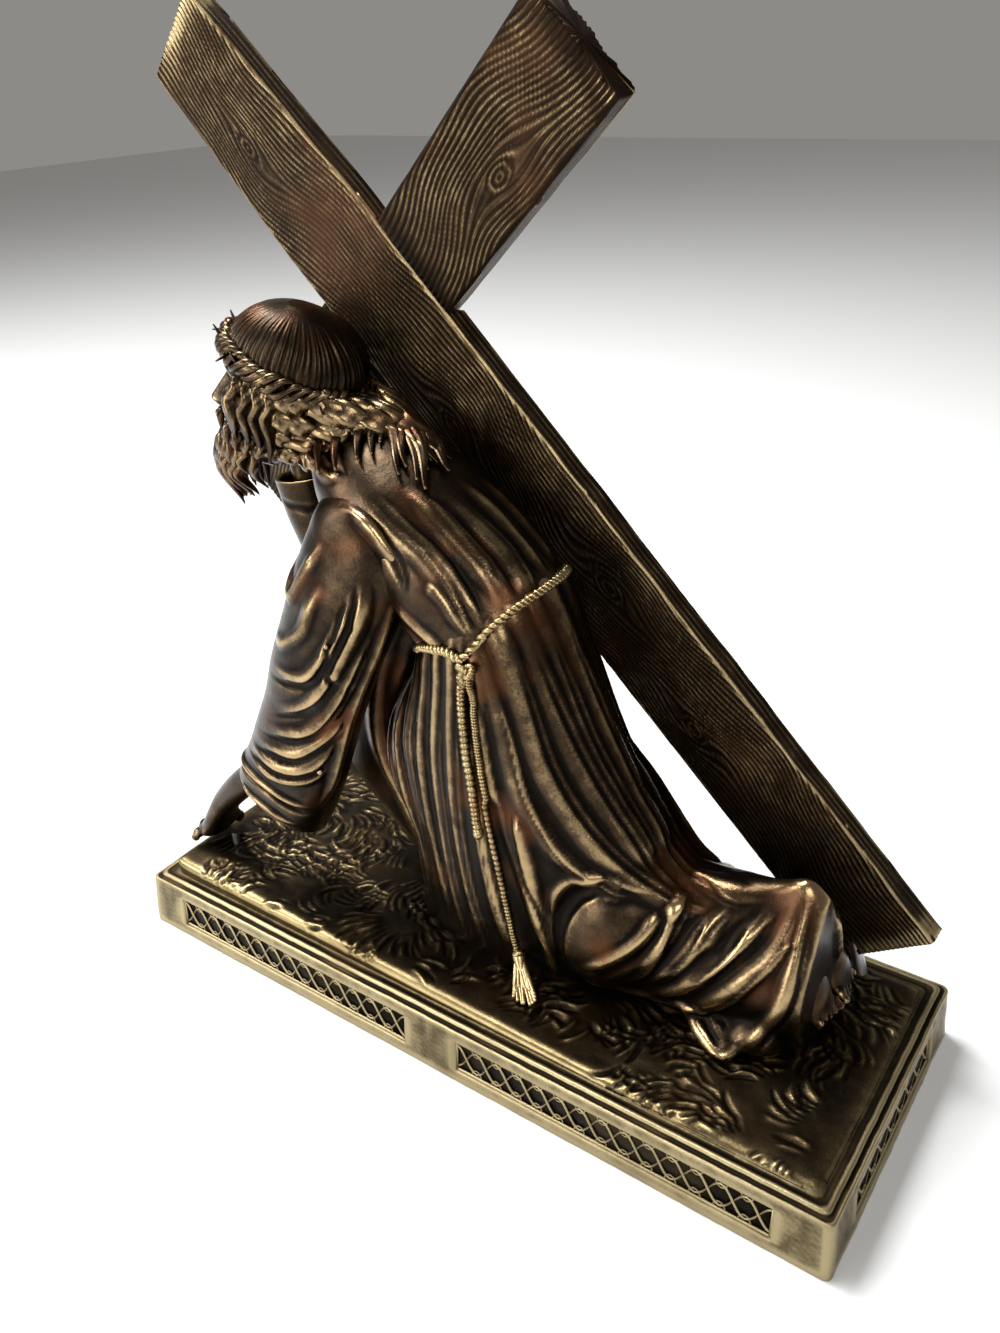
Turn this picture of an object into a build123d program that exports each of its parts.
from build123d import *

import os
from math import atan2, cos, degrees, radians, sin

# Tabletop statuette in cast metal: a robed, bearded man fallen to his knees under a timber cross, on a plinth.
# Millimetres. +X runs along the plinth to the foot of the cross, -Y is the side the figure shows, +Z is up.
# The origin is the middle of the plinth's underside.

os.makedirs("parts", exist_ok=True)

# ------------------------------------------------------------------ plinth
plinth_length = 165.0
plinth_width = 64.0
fascia_height = 12.4
plinth_draft = 0.9
plinth_corner = 1.4
step_height = 0.8
step_inset = 1.3
plinth_wall = 4.0
deck_thickness = 3.4

panel_margin = 9.8
panel_gap = 12.6
panel_low = 2.7
panel_height = 7.2
panel_depth = 1.1
end_panel_margin = 11.0
lattice_bar = 0.7
lattice_height = 0.8
lattice_pitch = 6.6
lattice_back = 0.25

# ------------------------------------------------------------------ ground
ground_inset = 2.5
ground_left_rise = 4.2
ground_right_rise = 1.1
ground_corner = 2.2
ground_edge_round = 0.8

# ------------------------------------------------------------------ cross
upright_width = 24.6
upright_top_width = 20.8
upright_above = 61.2
arm_width = 20.3
arm_high_length = 64.7
arm_low_length = 69.0
timber_thickness = 4.6
timber_edge_round = 0.5
crossing_x = -32.5
crossing_y = 11.0
crossing_rise = 123.6
cross_foot_x = 70.1
cross_foot_y = 23.0
cross_foot_rise = 8.8
cross_back_way = (0.064, 0.983, 0.171)
lap_clearance = 0.05
lap_dowel_radius = 2.0
lap_dowel_depth = 1.4

# ------------------------------------------------------------------ fixings
fit = 0.05
stud_radius = 2.0
nut_across_flats = 7.0
nut_height = 3.2
washer_radius = 4.5
washer_thickness = 0.8
stud_engagement = 42.0
plate_thickness = 1.6
felt_thickness = 1.2
plate_margin = 0.25
boss_radius = 4.2
boss_inset_x = 12.0
boss_inset_y = 9.0
screw_radius = 1.2
screw_head_radius = 2.3
screw_length = 6.5
mound_screw_offset = 56.0
mound_screw_radius = 2.0
mound_screw_head_radius = 3.5
mound_screw_head_height = 1.6

# ------------------------------------------------------------------ figure
hand_x = -75.6
toe_x = 67.8
heel_x = toe_x - 7.0
waist_half_long = 15.2
waist_half_wide = 14.6
sleeve_wall = 1.6
foot_length = 12.0
foot_half_width = 3.2
neck_radius = 5.6
hair_thickness = 1.8
beard_thickness = 1.4
jaw_height = -6.5
crown_radius = 13.6
crown_thickness = 1.7
thorn_count = 14
thorn_length = 2.2
rope_radius = 1.3
knot_radius = 2.6
tail_radius = 0.9

# Heights that follow from the plinth
deck_top = fascia_height + step_height
cavity_top = deck_top - deck_thickness
top_length = plinth_length - 2 * plinth_draft
top_width = plinth_width - 2 * plinth_draft
ground_length = top_length - 2 * (step_inset + ground_inset)
ground_width = top_width - 2 * (step_inset + ground_inset)
half_ground = ground_length / 2
half_side = ground_width / 2


def at(x, y, rise):
    """Point at a height above the plinth's deck."""
    return Vector(x, y, deck_top + rise)


def ground_rise(x):
    """Height of the grassy ground above the deck, sloping down towards the foot of the cross."""
    share = x / ground_length + 0.5
    return ground_left_rise + (ground_right_rise - ground_left_rise) * share


def along(start, end, across=(0, 1, 0)):
    """Plane at start that faces end, its x axis as near as can be to across."""
    facing = (end - start).normalized()
    side = Vector(*across)
    return Plane(origin=start, x_dir=side - facing * side.dot(facing), z_dir=facing)


def finish(piece, name):
    """Label a finished piece and write its STEP file."""
    piece.part.label = name
    export_step(piece.part, f"parts/{name}.step")


# ------------------------------------------------------------------ frame of the cross
crossing = at(crossing_x, crossing_y, crossing_rise)
cross_foot = at(cross_foot_x, cross_foot_y, cross_foot_rise)
upright_below = (cross_foot - crossing).length
down = (cross_foot - crossing).normalized()
facing_back = Vector(*cross_back_way)
facing_back = (facing_back - down * facing_back.dot(down)).normalized()
cross_face = Plane(origin=crossing, x_dir=down, z_dir=facing_back)
arm_low_way = cross_face.y_dir
mid_timber = facing_back * (timber_thickness / 2)

# ------------------------------------------------------------------ landmarks of the figure
hand_rest = at(hand_x, -15.0, ground_rise(hand_x) + 1.0)
wrist = at(hand_x + 6.8, -17.0, 17.5)
cuff_middle = at(-52.0, -17.0, 20.0)
waist = at(-2.0, -1.0, 75.5)
chest = at(-24.0, 0.5, 93.0)
neck_base = at(-33.0, 0.5, 99.0)
neck_top = at(-40.0, -1.0, 105.0)
head_centre = at(-46.0, -2.0, 110.5)
shoulder_left = at(-21.0, -8.0, 92.0)
shoulder_right = at(-24.0, 9.0, 91.0)
elbow_right = at(-46.0, 17.0, 66.0)
wrist_right = at(-58.0, 11.0, 90.0)

# ------------------------------------------------------------------ dowels and the stud: start, end, radius
stud_x = 8.0
stud_start = Vector(stud_x, 0, plate_thickness + felt_thickness + 0.6)
stud_end = at(stud_x, 0, stud_engagement)
torso_way = (chest - waist).normalized()
cheek = Vector(0, 1, 0)
foot_pin_start = cross_foot - down * 8 + arm_low_way * 4 + mid_timber
foot_pin_end = Vector(cross_foot.X - 3.0, cross_foot.Y + 1.6, cavity_top + 0.6)
dowels = {
    "figure_stud": (stud_start, stud_end, stud_radius),
    "waist_dowel": (waist - torso_way * 9, waist + torso_way * 11, 1.5),
    "neck_dowel": (neck_base, neck_base + (head_centre - neck_base) * 0.85, 1.25),
    "left_shoulder_dowel": (shoulder_left + cheek * 7, shoulder_left - cheek * 3, 1.25),
    "right_shoulder_dowel": (shoulder_right - cheek * 7, shoulder_right + cheek * 3, 1.25),
    "left_hand_dowel": (hand_rest + Vector(6, 0, 1.2), Vector(hand_rest.X + 6, hand_rest.Y, deck_top + 0.8), 0.8),
    "cross_foot_dowel": (foot_pin_start, foot_pin_end, 1.25),
}


def bore(name):
    """Cut the hole that a dowel sits in out of the piece being made."""
    start, end, radius = dowels[name]
    with Locations(along(start, end, (1, 0, 0)).location):
        Cylinder(
            radius + fit,
            (end - start).length + 2 * fit,
            align=(Align.CENTER, Align.CENTER, Align.MIN),
            mode=Mode.SUBTRACT,
        )


# ================================================================== plinth
boss_places = [
    (sx * (top_length / 2 - boss_inset_x), sy * (top_width / 2 - boss_inset_y))
    for sx in (-1, 1)
    for sy in (-1, 1)
]
plate_top = felt_thickness + plate_thickness
plate_length = top_length - 2 * (plinth_wall + plate_margin)
plate_width = top_width - 2 * (plinth_wall + plate_margin)
long_panel = (top_length - 2 * panel_margin - panel_gap) / 2
end_panel = top_width - 2 * end_panel_margin
panel_mid = panel_low + panel_height / 2
long_panel_x = (long_panel + panel_gap) / 2
face_lean = degrees(atan2(plinth_draft, fascia_height))


def fascia_plane(side):
    """Plane on one drafted side of the plinth at the panels' mid height, facing out."""
    out = {"front": (0, -1), "back": (0, 1), "left": (-1, 0), "right": (1, 0)}[side]
    reach = plinth_width / 2 if out[1] else plinth_length / 2
    reach = reach - plinth_draft * panel_mid / fascia_height
    lean = radians(face_lean)
    normal = Vector(out[0] * cos(lean), out[1] * cos(lean), sin(lean))
    run = Vector(0, 0, 1).cross(Vector(out[0], out[1], 0))
    return Plane(origin=(out[0] * reach, out[1] * reach, panel_mid), x_dir=run, z_dir=normal)


panels = {
    "front_left_lattice": ("front", -long_panel_x, long_panel),
    "front_right_lattice": ("front", long_panel_x, long_panel),
    "back_left_lattice": ("back", long_panel_x, long_panel),
    "back_right_lattice": ("back", -long_panel_x, long_panel),
    "left_end_lattice": ("left", 0, end_panel),
    "right_end_lattice": ("right", 0, end_panel),
}

with BuildPart() as plinth:
    with BuildSketch(Plane.XY):
        RectangleRounded(plinth_length, plinth_width, plinth_corner)
    with BuildSketch(Plane.XY.offset(fascia_height)):
        RectangleRounded(top_length, top_width, plinth_corner)
    loft()
    with BuildSketch(Plane.XY.offset(fascia_height)):
        RectangleRounded(top_length - 2 * step_inset, top_width - 2 * step_inset, plinth_corner)
    extrude(amount=step_height)
    with BuildSketch(Plane.XY):
        RectangleRounded(top_length - 2 * plinth_wall, top_width - 2 * plinth_wall, plinth_corner)
    extrude(amount=cavity_top, mode=Mode.SUBTRACT)
    with BuildSketch(Plane.XY.offset(plate_top)):
        with Locations(*boss_places):
            Circle(boss_radius)
    extrude(amount=cavity_top - plate_top)
    with BuildSketch(Plane.XY.offset(plate_top)):
        with Locations(*boss_places):
            Circle(screw_radius + fit)
    extrude(amount=screw_length, mode=Mode.SUBTRACT)
    for side, place, length in panels.values():
        with BuildSketch(fascia_plane(side)):
            with Locations((place, 0)):
                Rectangle(length, panel_height)
        extrude(amount=-panel_depth, mode=Mode.SUBTRACT)
    with Locations((stud_x, 0, 0)):
        Cylinder(stud_radius + fit, 2 * deck_top, mode=Mode.SUBTRACT)
    with Locations((-mound_screw_offset, 0, 0), (mound_screw_offset, 0, 0)):
        Cylinder(mound_screw_radius + fit, 2 * deck_top, mode=Mode.SUBTRACT)
    bore("cross_foot_dowel")
finish(plinth, "plinth")

# Cast lattice strips that lie in the sunk panels: two rails and a braid of crossing bars
for name, (side, place, length) in panels.items():
    strip_length = length - 2 * fit
    strip_height = panel_height - 2 * fit
    bar_count = int(strip_length / lattice_pitch)
    step = strip_length / bar_count
    bar_angle = degrees(atan2(strip_height, step))
    floor_plane = fascia_plane(side).offset(-panel_depth)
    with BuildPart() as lattice:
        with BuildSketch(floor_plane):
            with Locations((place, 0)):
                Rectangle(strip_length, strip_height)
        extrude(amount=lattice_back)
        with BuildSketch(floor_plane.offset(lattice_back)) as braid:
            for sign in (-1, 1):
                for index in range(bar_count):
                    with Locations((place - strip_length / 2 + (index + 0.5) * step, 0)):
                        Rectangle(strip_height * 1.4, lattice_bar, rotation=sign * bar_angle)
            with Locations((place, strip_height / 2), (place, -strip_height / 2)):
                Rectangle(strip_length, lattice_bar)
            with Locations((place, 0)):
                Rectangle(strip_length, strip_height, mode=Mode.INTERSECT)
        extrude(amount=lattice_height - lattice_back)
    finish(lattice, name)

# ================================================================== base fixings
with BuildPart() as bottom_plate:
    with BuildSketch(Plane.XY.offset(felt_thickness)):
        RectangleRounded(plate_length, plate_width, plinth_corner)
    extrude(amount=plate_thickness)
    with Locations(Plane.XY.offset(felt_thickness).rotated((180, 0, 0)).location):
        with Locations(*boss_places):
            CounterSinkHole(screw_radius + fit, screw_head_radius + fit, counter_sink_angle=90)
finish(bottom_plate, "bottom_plate")

with BuildPart() as felt_pad:
    with BuildSketch(Plane.XY):
        RectangleRounded(plate_length, plate_width, plinth_corner)
    extrude(amount=felt_thickness)
    fillet(felt_pad.edges().group_by(Axis.Z)[0], 0.3)
finish(felt_pad, "felt_pad")

with BuildPart() as base_screws:
    with BuildSketch(Plane.XY.offset(felt_thickness)):
        with Locations(*boss_places):
            Circle(screw_radius)
    extrude(amount=plate_thickness + screw_length - 1.0)
    for place in boss_places:
        with Locations((place[0], place[1], felt_thickness)):
            Cone(
                screw_head_radius,
                screw_radius,
                screw_head_radius - screw_radius,
                align=(Align.CENTER, Align.CENTER, Align.MIN),
            )
finish(base_screws, "base_plate_screws")

with BuildPart() as figure_washer:
    with BuildSketch(Plane.XY.offset(cavity_top - washer_thickness)):
        with Locations((stud_x, 0)):
            Circle(washer_radius)
            Circle(stud_radius + fit, mode=Mode.SUBTRACT)
    extrude(amount=washer_thickness)
finish(figure_washer, "figure_washer")

with BuildPart() as figure_nut:
    with BuildSketch(Plane.XY.offset(cavity_top - washer_thickness - nut_height)):
        with Locations((stud_x, 0)):
            RegularPolygon(nut_across_flats / 2, 6, major_radius=False)
            Circle(stud_radius + fit, mode=Mode.SUBTRACT)
    extrude(amount=nut_height)
finish(figure_nut, "figure_nut")

mound_screw_top = deck_top + 0.6 * ground_right_rise
with BuildPart() as mound_screws:
    with BuildSketch(Plane.XY.offset(cavity_top - mound_screw_head_height)):
        with Locations((-mound_screw_offset, 0), (mound_screw_offset, 0)):
            Circle(mound_screw_head_radius)
    extrude(amount=mound_screw_head_height)
    with BuildSketch(Plane.XY.offset(cavity_top)):
        with Locations((-mound_screw_offset, 0), (mound_screw_offset, 0)):
            Circle(mound_screw_radius)
    extrude(amount=mound_screw_top - cavity_top)
finish(mound_screws, "mound_screws")

# ================================================================== ground
with BuildPart() as ground_mound:
    with BuildSketch(Plane.XZ.offset(-half_side)):
        with BuildLine():
            Polyline(
                (-half_ground, deck_top),
                (half_ground, deck_top),
                (half_ground, deck_top + ground_right_rise),
                (-half_ground, deck_top + ground_left_rise),
                close=True,
            )
        make_face()
    extrude(amount=ground_width)
    fillet(ground_mound.edges().filter_by(Axis.Z), ground_corner)
    fillet(ground_mound.faces().sort_by(Axis.Z)[-1].edges(), ground_edge_round)
    for name in ("figure_stud", "left_hand_dowel", "cross_foot_dowel"):
        bore(name)
    with Locations((-mound_screw_offset, 0, deck_top), (mound_screw_offset, 0, deck_top)):
        Cylinder(
            mound_screw_radius + fit,
            mound_screw_top - deck_top + fit,
            align=(Align.CENTER, Align.CENTER, Align.MIN),
            mode=Mode.SUBTRACT,
        )

# ================================================================== cross
with BuildPart() as cross_upright:
    with BuildSketch(cross_face):
        with BuildLine():
            Polyline(
                (-upright_above, -upright_top_width / 2),
                (-arm_width, -upright_width / 2),
                (upright_below, -upright_width / 2),
                (upright_below, upright_width / 2),
                (-arm_width, upright_width / 2),
                (-upright_above, upright_top_width / 2),
                close=True,
            )
        make_face()
    extrude(amount=timber_thickness)
    fillet(cross_upright.faces().sort_by(Axis(crossing, facing_back))[0].edges(), timber_edge_round)
    with BuildSketch(cross_face.offset(timber_thickness / 2)):
        Rectangle(arm_width + 2 * lap_clearance, upright_width + 2)
    extrude(amount=timber_thickness, mode=Mode.SUBTRACT)
    add(ground_mound.part, mode=Mode.SUBTRACT)
    bore("cross_foot_dowel")

with BuildPart() as cross_arm:
    with BuildSketch(cross_face):
        with Locations((0, (arm_low_length - arm_high_length) / 2)):
            Rectangle(arm_width, arm_low_length + arm_high_length)
    extrude(amount=timber_thickness)
    fillet(cross_arm.faces().sort_by(Axis(crossing, facing_back))[0].edges(), timber_edge_round)
    with BuildSketch(cross_face):
        Rectangle(arm_width + 2, upright_width + 2 * lap_clearance)
    extrude(amount=timber_thickness / 2 + lap_clearance, mode=Mode.SUBTRACT)

with BuildPart() as lap_dowel:
    with BuildSketch(cross_face.offset(timber_thickness - 0.2)):
        Circle(lap_dowel_radius)
    extrude(amount=-(timber_thickness / 2 - 0.2 + lap_dowel_depth))

for timber in (cross_upright, cross_arm):
    with timber:
        with BuildSketch(cross_face.offset(timber_thickness)):
            Circle(lap_dowel_radius + fit)
        extrude(amount=-(timber_thickness / 2 + lap_dowel_depth + fit), mode=Mode.SUBTRACT)
finish(lap_dowel, "lap_dowel")

# ================================================================== lower robe and legs
# Level sections from the ground up to the hips: rise, centre x, centre y, half length, half width
skirt_sections = [
    (0.6, 5.0, -1.0, 26.0, 14.5),
    (17.0, 4.5, -1.0, 26.5, 14.8),
    (37.0, 2.0, -1.5, 28.0, 15.0),
    (53.0, 0.5, -1.5, 24.0, 15.0),
]
waist_plane = Plane(origin=waist, x_dir=(0.84, 0, 0.5), z_dir=(-0.5, -0.2, 0.84))

ground_slope = (ground_left_rise - ground_right_rise) / ground_length
ground_face = Plane(origin=at(0, 0, ground_rise(0)), z_dir=(ground_slope, 0, 1))

with BuildPart() as lower_robe:
    for rise, x, y, half_long, half_wide in skirt_sections:
        with BuildSketch(Plane.XY.offset(deck_top + rise)):
            with Locations((x, y)):
                Ellipse(half_long, half_wide)
    with BuildSketch(waist_plane):
        Ellipse(waist_half_long, waist_half_wide)
    loft()
    split(bisect_by=ground_face, keep=Keep.TOP)
    add(cross_upright.part, mode=Mode.SUBTRACT)
    bore("figure_stud")
    bore("waist_dowel")

# The fold of cloth that hangs from the chest to the far knee: x, z pairs of its outline, in rises
with BuildPart() as front_fold:
    with BuildSketch(Plane.XZ.offset(-9.0)):
        with BuildLine():
            Polyline(
                (-20.0, deck_top + 3.0),
                (-31.0, deck_top + 12.0),
                (-44.0, deck_top + 26.0),
                (-42.0, deck_top + 52.0),
                (-30.0, deck_top + 72.0),
                (-10.0, deck_top + 60.0),
                (-8.0, deck_top + 6.0),
                close=True,
            )
        make_face()
    extrude(amount=6.0)
    fillet(front_fold.edges().filter_by(Axis.Y), 2.0)
    add(ground_mound.part, mode=Mode.SUBTRACT)
    add(lower_robe.part, mode=Mode.SUBTRACT)

# Upright sections along the shins: x, centre y, centre rise, half width, half height
near_leg_sections = [
    (12.0, -4.0, 8.0, 8.0, 7.5),
    (24.0, -1.0, 11.0, 11.5, 12.5),
    (40.0, 2.5, 15.0, 12.0, 16.5),
    (heel_x - 4, 6.5, 17.0, 11.0, 18.0),
    (heel_x + 3, 8.0, 16.0, 9.0, 15.0),
]
far_leg_sections = [
    (12.0, 5.0, 8.0, 5.5, 7.0),
    (36.0, 14.0, 10.0, 7.0, 11.0),
    (heel_x, 16.0, 10.0, 6.0, 11.0),
]

with BuildPart() as near_leg_drapery:
    for x, y, rise, half_wide, half_high in near_leg_sections:
        with BuildSketch(Plane.YZ.offset(x)):
            with Locations((y, deck_top + rise)):
                Ellipse(half_wide, half_high)
    loft()
    split(bisect_by=ground_face, keep=Keep.TOP)
    for solid in (lower_robe, cross_upright):
        add(solid.part, mode=Mode.SUBTRACT)

with BuildPart() as far_leg_drapery:
    for x, y, rise, half_wide, half_high in far_leg_sections:
        with BuildSketch(Plane.YZ.offset(x)):
            with Locations((y, deck_top + rise)):
                Ellipse(half_wide, half_high)
    loft()
    split(bisect_by=ground_face, keep=Keep.TOP)
    for solid in (lower_robe, cross_upright, near_leg_drapery):
        add(solid.part, mode=Mode.SUBTRACT)

feet = {}
for name, y in (("left_foot", 6.0), ("right_foot", 15.5)):
    with BuildPart() as foot:
        with Locations((toe_x - foot_length / 2 + 4, y, deck_top + ground_right_rise + 3.4)):
            Box(foot_length, 2 * foot_half_width, 7.0)
        fillet(foot.edges(), 2.0)
        for solid in (ground_mound, near_leg_drapery, far_leg_drapery, cross_upright):
            add(solid.part, mode=Mode.SUBTRACT)
    feet[name] = foot

# ================================================================== upper robe
# Sections across the trunk above the waist, up to the neck: centre, half width, half depth
trunk_sections = [
    (waist + torso_way * 14, 16.0, 14.0),
    (chest, 17.0, 14.5),
    (neck_base, 12.5, 11.5),
    (neck_top, 6.5, 6.5),
]
with BuildPart() as upper_robe:
    with BuildSketch(waist_plane):
        Ellipse(waist_half_long, waist_half_wide)
    for centre, half_wide, half_deep in trunk_sections:
        with BuildSketch(Plane(origin=centre, x_dir=(0, 1, 0), z_dir=torso_way)):
            Ellipse(half_wide, half_deep)
    loft()
    for timber in (cross_upright, cross_arm):
        add(timber.part, mode=Mode.SUBTRACT)
    for solid in (lower_robe, front_fold):
        add(solid.part, mode=Mode.SUBTRACT)
    for name in ("waist_dowel", "neck_dowel", "left_shoulder_dowel", "right_shoulder_dowel"):
        bore(name)

# ================================================================== left arm
# Level sections of the hanging sleeve: rise, centre x, centre y, half length, half width
sleeve_sections = [
    (95.0, -21.0, -8.0, 8.0, 6.5),
    (88.0, -23.0, -10.0, 12.0, 8.0),
    (77.0, -25.5, -12.5, 13.5, 8.5),
    (62.0, -32.5, -15.0, 11.5, 9.0),
    (46.0, -39.5, -16.5, 11.5, 9.0),
    (30.0, -47.0, -17.5, 13.0, 9.0),
    (12.0, -53.0, -17.5, 13.0, 8.5),
]
cuff_plane = Plane(origin=cuff_middle, z_dir=(-0.39, 0, -0.92))

with BuildPart() as left_sleeve:
    for rise, x, y, half_long, half_wide in sleeve_sections:
        with BuildSketch(Plane.XY.offset(deck_top + rise)):
            with Locations((x, y)):
                Ellipse(half_long, half_wide)
    loft()
    for rise, x, y, half_long, half_wide in sleeve_sections[-2:]:
        with BuildSketch(Plane.XY.offset(deck_top + rise)):
            with Locations((x, y)):
                Ellipse(half_long - sleeve_wall, half_wide - sleeve_wall)
    loft(mode=Mode.SUBTRACT)
    split(bisect_by=cuff_plane, keep=Keep.BOTTOM)
    for solid in (upper_robe, lower_robe, front_fold):
        add(solid.part, mode=Mode.SUBTRACT)
    bore("left_shoulder_dowel")

forearm_root = at(-51.0, -17.5, 31.5)
hand_sections = [
    (forearm_root, 4.4, 4.4),
    (wrist, 3.9, 3.3),
    (wrist + (hand_rest - wrist) * 0.55, 5.0, 3.0),
    (hand_rest, 5.2, 2.0),
]
with BuildPart() as left_hand:
    for index, (centre, half_wide, half_deep) in enumerate(hand_sections):
        before = hand_sections[max(index - 1, 0)][0]
        after = hand_sections[min(index + 1, len(hand_sections) - 1)][0]
        with BuildSketch(Plane(origin=centre, x_dir=(0, 1, 0), z_dir=after - before)):
            Ellipse(half_wide, half_deep)
    loft()
    add(ground_mound.part, mode=Mode.SUBTRACT)
    add(left_sleeve.part, mode=Mode.SUBTRACT)
    bore("left_hand_dowel")

# ================================================================== right arm
with BuildPart() as right_sleeve:
    for start, end, start_radius, end_radius in (
        (shoulder_right, elbow_right, 8.5, 7.5),
        (elbow_right, wrist_right, 7.5, 7.0),
    ):
        with BuildSketch(along(start, end)):
            Circle(start_radius)
        with BuildSketch(along(start, end).offset((end - start).length)):
            Circle(end_radius)
        loft(ruled=True)
    with Locations(elbow_right):
        Sphere(7.5)
    for solid in (upper_robe, lower_robe, front_fold, cross_upright, cross_arm, left_sleeve):
        add(solid.part, mode=Mode.SUBTRACT)
    bore("right_shoulder_dowel")

with BuildPart() as right_hand:
    with Locations(Plane(origin=wrist_right + Vector(-2.5, 3.0, 5.5), x_dir=down, z_dir=facing_back).location):
        Box(12.0, 8.0, 12.0)
    fillet(right_hand.edges(), 2.2)
    for solid in (right_sleeve, cross_arm, upper_robe):
        add(solid.part, mode=Mode.SUBTRACT)

# ================================================================== head
# Sections across the head from under the chin to the top: height, shift to the face, half length, half width
head_sections = [
    (-15.0, 2.6, 3.0, 2.6),
    (-10.0, 1.8, 8.4, 6.6),
    (-1.0, 0.6, 11.2, 9.6),
    (8.0, -0.4, 11.4, 10.0),
    (14.0, -0.4, 7.0, 6.4),
    (16.0, -0.4, 2.6, 2.4),
]
head_up = Vector(0.30, 0.05, 0.95).normalized()
face_way = Vector(-0.88, -0.40, -0.25)
face_way = (face_way - head_up * face_way.dot(head_up)).normalized()


def head_level(height, shift):
    """Plane across the head at a height above its centre, moved towards the face."""
    return Plane(origin=head_centre + head_up * height + face_way * shift, x_dir=face_way, z_dir=head_up)


with BuildPart() as head:
    for height, shift, half_long, half_wide in head_sections:
        with BuildSketch(head_level(height, shift)):
            Ellipse(half_long, half_wide)
    loft()
    with BuildSketch(along(neck_base, head_centre)):
        Circle(neck_radius)
    extrude(amount=(head_centre - neck_base).length * 0.8)
    for solid in (upper_robe, cross_arm, cross_upright):
        add(solid.part, mode=Mode.SUBTRACT)
    bore("neck_dowel")

hairline = Plane(origin=head_centre + face_way * 2.0 - head_up * 2.0, z_dir=(face_way * 0.85 - head_up * 0.5))
with BuildPart() as hair:
    for height, shift, half_long, half_wide in head_sections:
        grown = height * (1 + hair_thickness / abs(head_sections[0][0]))
        with BuildSketch(head_level(grown, shift)):
            Ellipse(half_long + hair_thickness, half_wide + hair_thickness)
    loft()
    split(bisect_by=hairline, keep=Keep.BOTTOM)
    for solid in (head, upper_robe, cross_arm, cross_upright, right_hand, right_sleeve):
        add(solid.part, mode=Mode.SUBTRACT)
    bore("neck_dowel")

with BuildPart() as beard:
    for height, shift, half_long, half_wide in head_sections[:4]:
        with BuildSketch(head_level(height - beard_thickness, shift)):
            Ellipse(half_long + beard_thickness, half_wide + beard_thickness)
    loft()
    split(bisect_by=head_level(jaw_height, 0), keep=Keep.BOTTOM)
    split(bisect_by=Plane(origin=head_centre + face_way, z_dir=face_way), keep=Keep.TOP)
    for solid in (head, hair, upper_robe, cross_arm, left_sleeve):
        add(solid.part, mode=Mode.SUBTRACT)

crown_plane = Plane(origin=head_centre + head_up * 5.0, x_dir=face_way, z_dir=head_up + face_way * 0.15)
with BuildPart() as crown_of_thorns:
    with Locations(crown_plane.location):
        Torus(crown_radius, crown_thickness)
        with PolarLocations(crown_radius + crown_thickness * 0.6, thorn_count):
            Cone(
                0.6,
                0.15,
                thorn_length,
                rotation=(0, 65, 0),
                align=(Align.CENTER, Align.CENTER, Align.MIN),
            )
    for solid in (head, hair, upper_robe, cross_arm, cross_upright, right_hand):
        add(solid.part, mode=Mode.SUBTRACT)

# ================================================================== girdle
with BuildPart() as waist_rope:
    with BuildSketch(waist_plane.offset(-rope_radius)):
        Ellipse(waist_half_long + rope_radius, waist_half_wide + rope_radius)
        Ellipse(waist_half_long - rope_radius, waist_half_wide - rope_radius, mode=Mode.SUBTRACT)
    extrude(amount=2 * rope_radius)
    for solid in (lower_robe, upper_robe, cross_upright, left_sleeve, right_sleeve, front_fold):
        add(solid.part, mode=Mode.SUBTRACT)
finish(waist_rope, "waist_rope")

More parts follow.
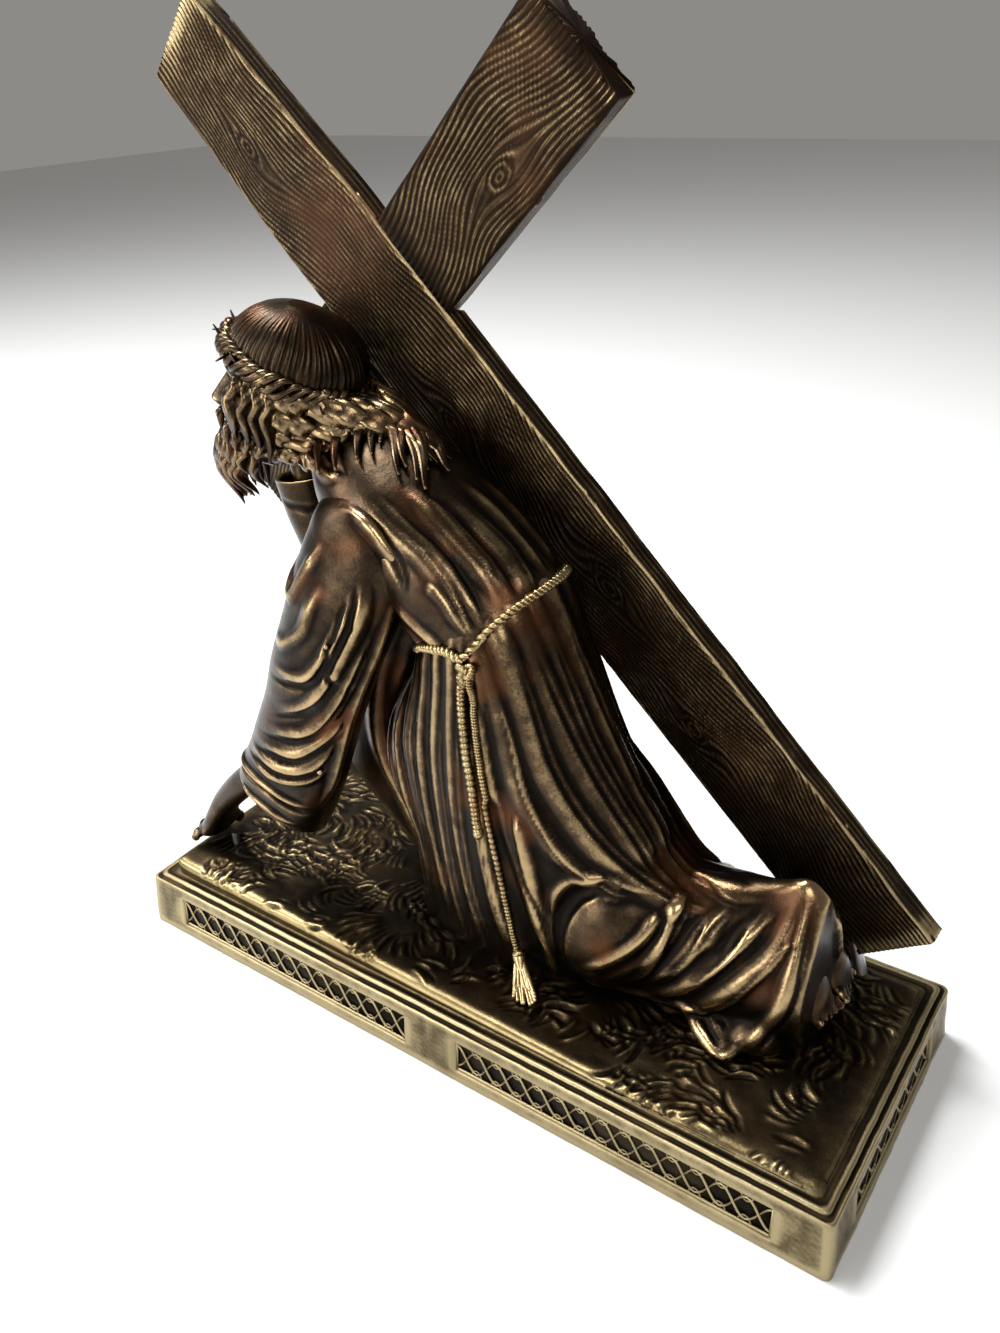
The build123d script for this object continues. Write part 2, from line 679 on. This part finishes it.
knot_centre = at(3.5, -18.2, 71.0)
tail_top = knot_centre + Vector(0, 0.2, -2.0)
long_tail_points = [
    tail_top + Vector(1.0, 0, 0),
    at(5.5, -17.6, 45.0),
    at(9.0, -17.2, 22.0),
    at(11.5, -17.0, 6.0),
]
short_tail_points = [tail_top - Vector(2.4, 0, 0), at(2.2, -17.8, 55.0), at(3.2, -17.8, 38.0)]

with BuildPart() as rope_knot:
    with Locations(knot_centre):
        Sphere(knot_radius)
    for solid in (lower_robe, upper_robe, waist_rope, left_sleeve):
        add(solid.part, mode=Mode.SUBTRACT)
finish(rope_knot, "rope_knot")

tails = {"long_rope_tail": long_tail_points, "short_rope_tail": short_tail_points}
hanging = [lower_robe, upper_robe, waist_rope, rope_knot, near_leg_drapery, ground_mound]
for name, points in tails.items():
    with BuildPart() as tail:
        for start, end in zip(points, points[1:]):
            with BuildSketch(along(start, end)):
                Circle(tail_radius)
            extrude(amount=(end - start).length)
        with Locations(*points[1:]):
            Sphere(tail_radius)
        for solid in hanging:
            add(solid.part, mode=Mode.SUBTRACT)
    finish(tail, name)
    hanging.append(tail)

tassel_top = long_tail_points[-1] + Vector(0.5, -0.2, -1.0)
tassel_end = at(15.0, -20.0, ground_rise(15.0) + 0.8)
with BuildPart() as rope_tassel:
    with BuildSketch(along(tassel_top, tassel_end)):
        Circle(1.3)
    with BuildSketch(along(tassel_top, tassel_end).offset((tassel_end - tassel_top).length)):
        Circle(2.6)
    loft()
    for solid in hanging:
        add(solid.part, mode=Mode.SUBTRACT)
finish(rope_tassel, "rope_tassel")

# ================================================================== dowels, stud and files
for name, (start, end, radius) in dowels.items():
    with BuildPart() as pin:
        with BuildSketch(along(start, end, (1, 0, 0))):
            Circle(radius)
        extrude(amount=(end - start).length)
    finish(pin, name)

figure = {
    "ground_mound": ground_mound,
    "cross_upright": cross_upright,
    "cross_arm": cross_arm,
    "lower_robe": lower_robe,
    "front_fold": front_fold,
    "near_leg_drapery": near_leg_drapery,
    "far_leg_drapery": far_leg_drapery,
    "upper_robe": upper_robe,
    "left_sleeve": left_sleeve,
    "left_hand": left_hand,
    "right_sleeve": right_sleeve,
    "right_hand": right_hand,
    "head": head,
    "hair": hair,
    "beard": beard,
    "crown_of_thorns": crown_of_thorns,
    **feet,
}
for name, piece in figure.items():
    finish(piece, name)
